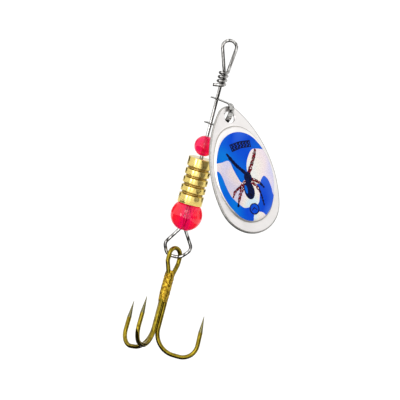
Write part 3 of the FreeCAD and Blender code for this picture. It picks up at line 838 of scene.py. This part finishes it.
def clevis_path():
    """(x, z) along the strip, its outward direction and half width, from ear to ear."""
    high = CLEVIS_LOW + CLEVIS_HEIGHT

    def leg(level, end, direction):
        angles = np.linspace(math.radians(EAR_ARC[0]), math.radians(EAR_ARC[1]), EAR_STEPS)
        steps = [EAR_RADIUS * math.cos(angle) for angle in angles]
        steps += list(np.linspace(steps[-1], end, LEG_STEPS)[1:])
        for x in steps:
            ear = math.sqrt(max(EAR_RADIUS ** 2 - x ** 2, 0)) if x < EAR_RADIUS else 0
            width = ear if x < 0 else max(ear, CLEVIS_HALF_WIDTH)
            yield (x, level), (0, direction), width

    def bend(radius, centre_z, first, last):
        for degrees in np.linspace(first, last, BEND_STEPS)[1:-1]:
            across, upward = math.cos(math.radians(degrees)), math.sin(math.radians(degrees))
            place = (CLEVIS_REACH - radius + radius * across, centre_z + radius * upward)
            yield place, (across, upward), CLEVIS_HALF_WIDTH

    return [*leg(high, CLEVIS_REACH - CLEVIS_UPPER_BEND, 1),
            *bend(CLEVIS_UPPER_BEND, high - CLEVIS_UPPER_BEND, 90, 0),
            *bend(CLEVIS_LOWER_BEND, CLEVIS_LOW + CLEVIS_LOWER_BEND, 0, -90),
            *list(leg(CLEVIS_LOW, CLEVIS_REACH - CLEVIS_LOWER_BEND, -1))[::-1]]


def build_clevis(materials):
    """Folded strip with rounded edges, an ear at each end and a hole through each ear."""
    thick, corner = CLEVIS_HALF_THICKNESS, CLEVIS_EDGE_ROUND
    face_level = thick - corner / 2
    vertices, faces, kinds = [], [], []
    profile = round_corners([(1, thick, corner), (-1, thick, corner), (-1, -thick, corner),
                             (1, -thick, corner)], 4)
    rows = len(profile)
    for (x, z), (out_x, out_z), width in clevis_path():
        for side, lift in profile:
            y = side - math.copysign(1 - width, side)
            y = y if abs(side) > 1 - corner - 0.001 and width > corner else side * width
            vertices.append((x + lift * out_x, y, z + lift * out_z))
    count = len(vertices) // rows
    for step in range(count - 1):
        for row in range(rows):
            following = (row + 1) % rows
            here, there = step * rows, (step + 1) * rows
            faces.append((here + row, here + following, there + following, there + row))
            levels = abs(profile[row][1]), abs(profile[following][1])
            # Edge and corner faces take the second material, which is painted shade.
            kinds.append(PLAIN if min(levels) > face_level else EDGE)
    faces.append(tuple(range(rows)))
    faces.append(tuple((count - 1) * rows + row for row in range(rows))[::-1])
    kinds += [EDGE, EDGE]
    clevis = outward(new_piece("folded_clevis", vertices, faces, materials,
                               turn("Z", CLEVIS_AZIMUTH), kinds))
    drill(clevis, EAR_HOLE_RADIUS, CLEVIS_LOW - 1, CLEVIS_LOW + CLEVIS_HEIGHT + 1)
    register(clevis, "clevis", "clevis_metal", "clevis")


def drill(piece, radius, low, high):
    """Bores a piece along the shaft's axis."""
    segments = 48
    ring = [(radius * math.cos(2 * math.pi * step / segments),
             radius * math.sin(2 * math.pi * step / segments)) for step in range(segments)]
    vertices = [(x, y, low) for x, y in ring] + [(x, y, high) for x, y in ring]
    faces = [(step, (step + 1) % segments, segments + (step + 1) % segments, segments + step)
             for step in range(segments)]
    faces += [tuple(range(segments))[::-1], tuple(range(segments, 2 * segments))]
    subtract(piece, outward(new_piece("drill", vertices, faces, [])))


# ---------------------------------------------------------------- turned pieces

BODY_RADIUS = 2.45
BODY_LENGTH = 9.15
BODY_BORE = 0.40
CUP_RADIUS = 2.20
GROOVE_FIRST = 1.80
GROOVE_PITCH = 1.65
GROOVE_WIDTH = 0.60
GROOVE_FLOOR = 0.24
GROOVE_DEPTH = 0.38
GROOVES = 4
RING_ROUND = 0.07
GROOVE_ROUND = 0.06             # at the foot of a groove
BODY_BORE_ROUNDS = (0.06, 0.05)  # at the front and at the bottom of the cup
CUP_LIP_ROUND = 0.08
BODY_FRONT_ROUND = 0.12
BODY_SEGMENTS = 160
GROOVE_SHADE = 0.33             # how far down a groove the painted shade starts
BEAD_LIP = 0.12
BEAD_SEGMENTS = 128
MOULD_LINE = (0.012, 0.05)      # height and half width of a bead's mould line


def build_body(materials):
    """Turned brass body with four grooves and a cup at the rear."""
    outline = [(BODY_BORE, BODY_LENGTH, BODY_BORE_ROUNDS[0]),
               (BODY_BORE, CUP_RADIUS - BODY_BORE, BODY_BORE_ROUNDS[1]),
               (CUP_RADIUS, 0, CUP_LIP_ROUND), (BODY_RADIUS, 0, CUP_LIP_ROUND)]
    for groove in range(GROOVES):
        start = GROOVE_FIRST + groove * GROOVE_PITCH
        inset = (GROOVE_WIDTH - GROOVE_FLOOR) / 2
        floor = BODY_RADIUS - GROOVE_DEPTH
        outline += [(BODY_RADIUS, start, RING_ROUND), (floor, start + inset, GROOVE_ROUND),
                    (floor, start + GROOVE_WIDTH - inset, GROOVE_ROUND),
                    (BODY_RADIUS, start + GROOVE_WIDTH, RING_ROUND)]
    outline.append((BODY_RADIUS, BODY_LENGTH, BODY_FRONT_ROUND))
    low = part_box("brass_body")[0][2] / MM
    points = round_corners(outline)
    vertices, faces = lathe(points, BODY_SEGMENTS)
    kinds = []
    # Faces down in a groove get the second material, which is painted shade.
    for row, (radius, level) in enumerate(points):
        middle = (radius + points[(row + 1) % len(points)][0]) / 2
        deep = middle < BODY_RADIUS - GROOVE_SHADE and 0 < level < BODY_LENGTH
        kinds.append(1 if deep and middle > BODY_RADIUS - 2 * GROOVE_DEPTH else 0)
    body = outward(new_piece("turned_body", vertices, faces, materials,
                             Matrix.Translation((0, 0, low)), kinds * BODY_SEGMENTS))
    register(body, "body", "body_brass", "brass_body")


def build_bead(node, name, bore, materials):
    """Moulded bead: a ball with a bore, rounded lips and a faint mould line."""
    low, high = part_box(node)
    radius = (high[0] - low[0]) / 2 / MM
    centre = (low[2] + high[2]) / 2 / MM
    top = math.sqrt(radius ** 2 - (bore + BEAD_LIP) ** 2)
    limit = math.asin(top / radius)
    steps, lip_steps, bore_steps = 48, 6, 8
    lip = []
    for step in range(1, lip_steps):
        around = math.pi / 2 * step / lip_steps
        lip.append((bore + BEAD_LIP * (1 - math.sin(around)),
                    top - BEAD_LIP * (1 - math.cos(around))))
    outline = []
    for step in range(steps + 1):
        angle = -limit + 2 * limit * step / steps
        ring = MOULD_LINE[0] * math.exp(-(angle * radius / MOULD_LINE[1]) ** 2)
        outline.append(((radius + ring) * math.cos(angle), radius * math.sin(angle)))
    outline += lip
    outline += [(bore, (top - BEAD_LIP) * (1 - 2 * step / bore_steps))
                for step in range(bore_steps + 1)]
    outline += [(across, -level) for across, level in lip[::-1]]
    vertices, faces = lathe(outline, BEAD_SEGMENTS)
    rows = len(outline)
    kinds = [1 if outline[index % rows][0] <= bore + 0.01 else 0 for index in range(len(faces))]
    bead = outward(new_piece(name, vertices, faces, materials,
                             Matrix.Translation((0, 0, centre)), kinds))
    register(bead, node, node, node)


# ---------------------------------------------------------------- hook's braze

BRAZE_LOW = -9.3
BRAZE_HIGH = -2.9
BRAZE_SKIN = 0.05                # over the wires
BRAZE_CORE = 0.98                # least radius, in the grooves between the wires
BRAZE_END = 0.20                 # share of the radius lost at either end
BRAZE_END_RISE = 5               # one over the share of the length that each end takes
BRAZE_LUMPS = (0.045, 0.03)      # heights of the coarse and of the fine lumps
LUMP_GRAIN = (1.9, 2.1, 2.3)     # round the shank, along it, and fine over coarse


def build_braze(material):
    """Braze that wets the three shanks: their outline with filled grooves and a lumpy skin."""
    rows, segments = 90, 96
    round_grain, long_grain, finer = LUMP_GRAIN
    azimuths = [math.radians(HOOK_AZIMUTH + 120 * index) for index in range(3)]
    vertices, faces = [], []
    for row in range(rows + 1):
        share = row / rows
        level = BRAZE_LOW + (BRAZE_HIGH - BRAZE_LOW) * share
        ends = min(share * BRAZE_END_RISE, (1 - share) * BRAZE_END_RISE, 1.0)
        for segment in range(segments):
            angle = 2 * math.pi * segment / segments
            wires = 0.0
            for azimuth in azimuths:
                side = SHANK_OFFSET * math.sin(angle - azimuth)
                if math.cos(angle - azimuth) > 0 and abs(side) < HOOK_WIRE_RADIUS:
                    wires = max(wires, SHANK_OFFSET * math.cos(angle - azimuth)
                                + math.sqrt(HOOK_WIRE_RADIUS ** 2 - side ** 2))
            filled = max(wires + BRAZE_SKIN, BRAZE_CORE)
            place = Vector((math.cos(angle) * round_grain, math.sin(angle) * round_grain,
                            level * long_grain))
            lumps = (BRAZE_LUMPS[0] * noise.noise(place)
                     + BRAZE_LUMPS[1] * noise.noise(place * finer))
            radius = (filled + lumps) * (1 - BRAZE_END + BRAZE_END * math.sqrt(ends))
            vertices.append((radius * math.cos(angle), radius * math.sin(angle), level))
    for row in range(rows):
        for segment in range(segments):
            following = (segment + 1) % segments
            here, there = row * segments, (row + 1) * segments
            faces.append((here + segment, here + following, there + following, there + segment))
    faces.append(tuple(range(segments))[::-1])
    faces.append(tuple(rows * segments + segment for segment in range(segments)))
    braze = outward(new_piece("braze_sleeve", vertices, faces, [material], hook_frame()))
    register(braze, "treble_hook", "hook_braze", "hook_braze")


# ---------------------------------------------------------------- stage, light and camera

def flat_sheet(name, sides, rise, material):
    """Level rectangle at a height over the floor."""
    left, right, front, back = sides
    level = CAD_BOX[0][2] / MM - FLOOR_DROP + rise
    corners = [(left, front, level), (right, front, level), (right, back, level),
               (left, back, level)]
    return new_piece(name, corners, [(0, 1, 2, 3)], [material])


def white_floor():
    """Plain pale floor, well below the lure."""
    settings = {"Roughness": 0.9, "Specular IOR Level": 0.1}
    material, tree, shader = new_material("pale_floor", settings)
    grain = noise_value(tree, coordinates(tree), 0.02, detail=2.0)
    link(tree, ramp(tree, grain, [(0.3, 0.93), (0.7, 0.96)]), shader.inputs["Base Color"])
    floor = flat_sheet("floor", FLOOR, 0, material)


def sky():
    """Even white surround, a little dimmer behind the lure."""
    world = bpy.data.worlds.new("studio")
    bpy.context.scene.world = world
    world.use_nodes = True
    tree = world.node_tree
    background = tree.nodes["Background"]
    source = tree.nodes.new("ShaderNodeTexCoord")
    split = tree.nodes.new("ShaderNodeSeparateXYZ")
    link(tree, source.outputs["Generated"], split.inputs["Vector"])
    share = arithmetic(tree, "MULTIPLY_ADD", split.outputs["Y"], 0.5)
    share.node.inputs[2].default_value = 0.5
    link(tree, ramp(tree, share, [(0.25, 1.0), (0.9, 0.72)]), background.inputs["Color"])
    background.inputs["Strength"].default_value = SKY_STRENGTH


def reflected_only(card):
    """A studio card that shows in reflections, but not in the picture or as shade."""
    card.visible_camera = False
    card.visible_diffuse = False
    card.visible_shadow = False
    card.visible_transmission = False


def dark_card(material, azimuth, half_angle, low, high):
    """Tall dark card out of the picture, which gives the metal its dark reflected line.

    The azimuth is counted from the camera's side, positive to the camera's right."""
    steps = 12
    vertices = []
    for step in range(steps + 1):
        angle = math.radians(azimuth - half_angle + 2 * half_angle * step / steps)
        x, y = CARD_DISTANCE * math.sin(angle), -CARD_DISTANCE * math.cos(angle)
        vertices += [(x, y, low), (x, y, high)]
    faces = [(2 * step, 2 * step + 2, 2 * step + 3, 2 * step + 1) for step in range(steps)]
    reflected_only(new_piece("card_%d" % (azimuth % 360), vertices, faces, [material]))


def floor_card(material):
    """Dark card on the floor under the lure, in front of the part of the floor in view."""
    reflected_only(flat_sheet("floor_card", FLOOR_CARD, 1, material))


def card_material():
    """Dark felt."""
    settings = {"Roughness": 1.0, "Specular IOR Level": 0.0}
    material, tree, shader = new_material("dark_felt", settings)
    fibres = noise_value(tree, coordinates(tree), 0.5, detail=4.0)
    link(tree, ramp(tree, fibres, [(0.3, 0.02), (0.7, 0.04)]), shader.inputs["Base Color"])
    return material


def soft_light(name, place, size, power):
    """Square soft box that faces the lure."""
    lamp = bpy.data.lights.new(name, "AREA")
    lamp.size = size * MM
    lamp.energy = power
    holder = bpy.data.objects.new(name, lamp)
    bpy.context.scene.collection.objects.link(holder)
    holder.location = Vector(place) * MM
    towards = Vector(CAMERA_TARGET) * MM - holder.location
    holder.rotation_euler = towards.to_track_quat("-Z", "Y").to_euler()


def camera():
    """Long lens, a little above the shaft's side, rolled so that the shaft leans right."""
    rise = math.radians(CAMERA_RISE)
    lean = math.radians(SHAFT_TILT)
    across = Vector((1, 0, 0))
    upward = Vector((0, math.sin(rise), math.cos(rise)))
    back = Vector((0, -math.cos(rise), math.sin(rise)))
    right = across * math.cos(lean) + upward * math.sin(lean)
    top = upward * math.cos(lean) - across * math.sin(lean)
    data = bpy.data.cameras.new("camera")
    data.sensor_width = 36.0
    data.lens = data.sensor_width * CAMERA_DISTANCE / PICTURE_WIDTH
    data.clip_start = 0.01
    data.clip_end = 50.0
    holder = bpy.data.objects.new("camera", data)
    bpy.context.scene.collection.objects.link(holder)
    place = (Vector(CAMERA_TARGET) + back * CAMERA_DISTANCE) * MM
    rotation = Matrix((right, top, back)).transposed().to_4x4()
    holder.matrix_world = Matrix.Translation(place) @ rotation
    bpy.context.scene.camera = holder


def dress(node, material):
    """Gives a CAD node that stays in view its finished material."""
    piece = frame["nodes"][node]
    piece.data.materials.clear()
    piece.data.materials.append(material)


# ---------------------------------------------------------------- the scene

dress("wire_shaft", drawn_wire_material())
HOOK = hook_material()
dress("hook_double_wire", HOOK)
dress("hook_single_wire", HOOK)
build_braze(braze_material())
# The clevis's edge material is near black: painted shade, the dark outline along the strip.
build_clevis([plated_strip_material(),
              darker_band_material("strip_edge", (0.015, 0.014, 0.012), (0.13, 0.125, 0.115))])
# The blade's edge material is darker than its faces, partly the sheared edge's own tone and partly
# painted shade; the crease material is painted shade at the foot of the step.
build_blade([blade_material(),
             darker_band_material("blade_edge", (0.28, 0.27, 0.25), (0.56, 0.54, 0.51)),
             darker_band_material("step_foot_painted_shade", (0.30, 0.28, 0.25), (0.52, 0.50, 0.46))])
build_foil([print_material("blue_ink", INK, BLUE_TINTS, 0.11, (0.18, 0.28), place=BLUE_PLACE),
            print_material("pearl_film", PEARL_FILM, PEARL_TINTS, 0.14, (0.22, 0.34)),
            print_material("navy_ink", INK, NAVY_TINTS, 2.5, (0.24, 0.39), detail=2.0),
            print_material("rust_ink", INK, RUST_TINTS, 3.0, (0.24, 0.39), detail=2.0)])
# The front bead's bore material is paler and pinker than its plastic: painted light that brightens
# the bead's middle seen through it.
build_bead("front_bead", "front_bead_ball", 0.40,
           [bead_material("front_bead_plastic", (0.80, 0.004, 0.04), (0.88, 0.012, 0.15),
                          0.72, 0.09),
            bead_material("front_bead_bore", (0.98, 0.10, 0.38), (0.98, 0.22, 0.50), 0.5, 0.08)])
build_body([brass_material(), painted_groove_shade_material()])
# The rear bead's bore material is paler and pinker than its plastic: painted light that brightens
# the bead's middle seen through it.
build_bead("rear_bead", "rear_bead_ball", 1.05,
           [rear_bead_material(),
            bead_material("rear_bead_bore", (0.98, 0.02, 0.26), (0.95, 0.10, 0.45), 0.75, 0.02)])

white_floor()
sky()
CARD = card_material()
dark_card(CARD, 46, 12, -90, 380)
dark_card(CARD, 70, 12, -90, 130)
dark_card(CARD, -132, 16, -90, 120)
dark_card(CARD, 132, 20, -90, 120)
floor_card(CARD)
soft_light("key_light", (-120, -560, 320), 260, 0.5)
soft_light("front_strip", (-88, -480, -38), 110, 0.12)
soft_light("left_strip", (-310, -370, -38), 90, 0.25)
camera()
bpy.context.scene.view_settings.view_transform = "Standard"
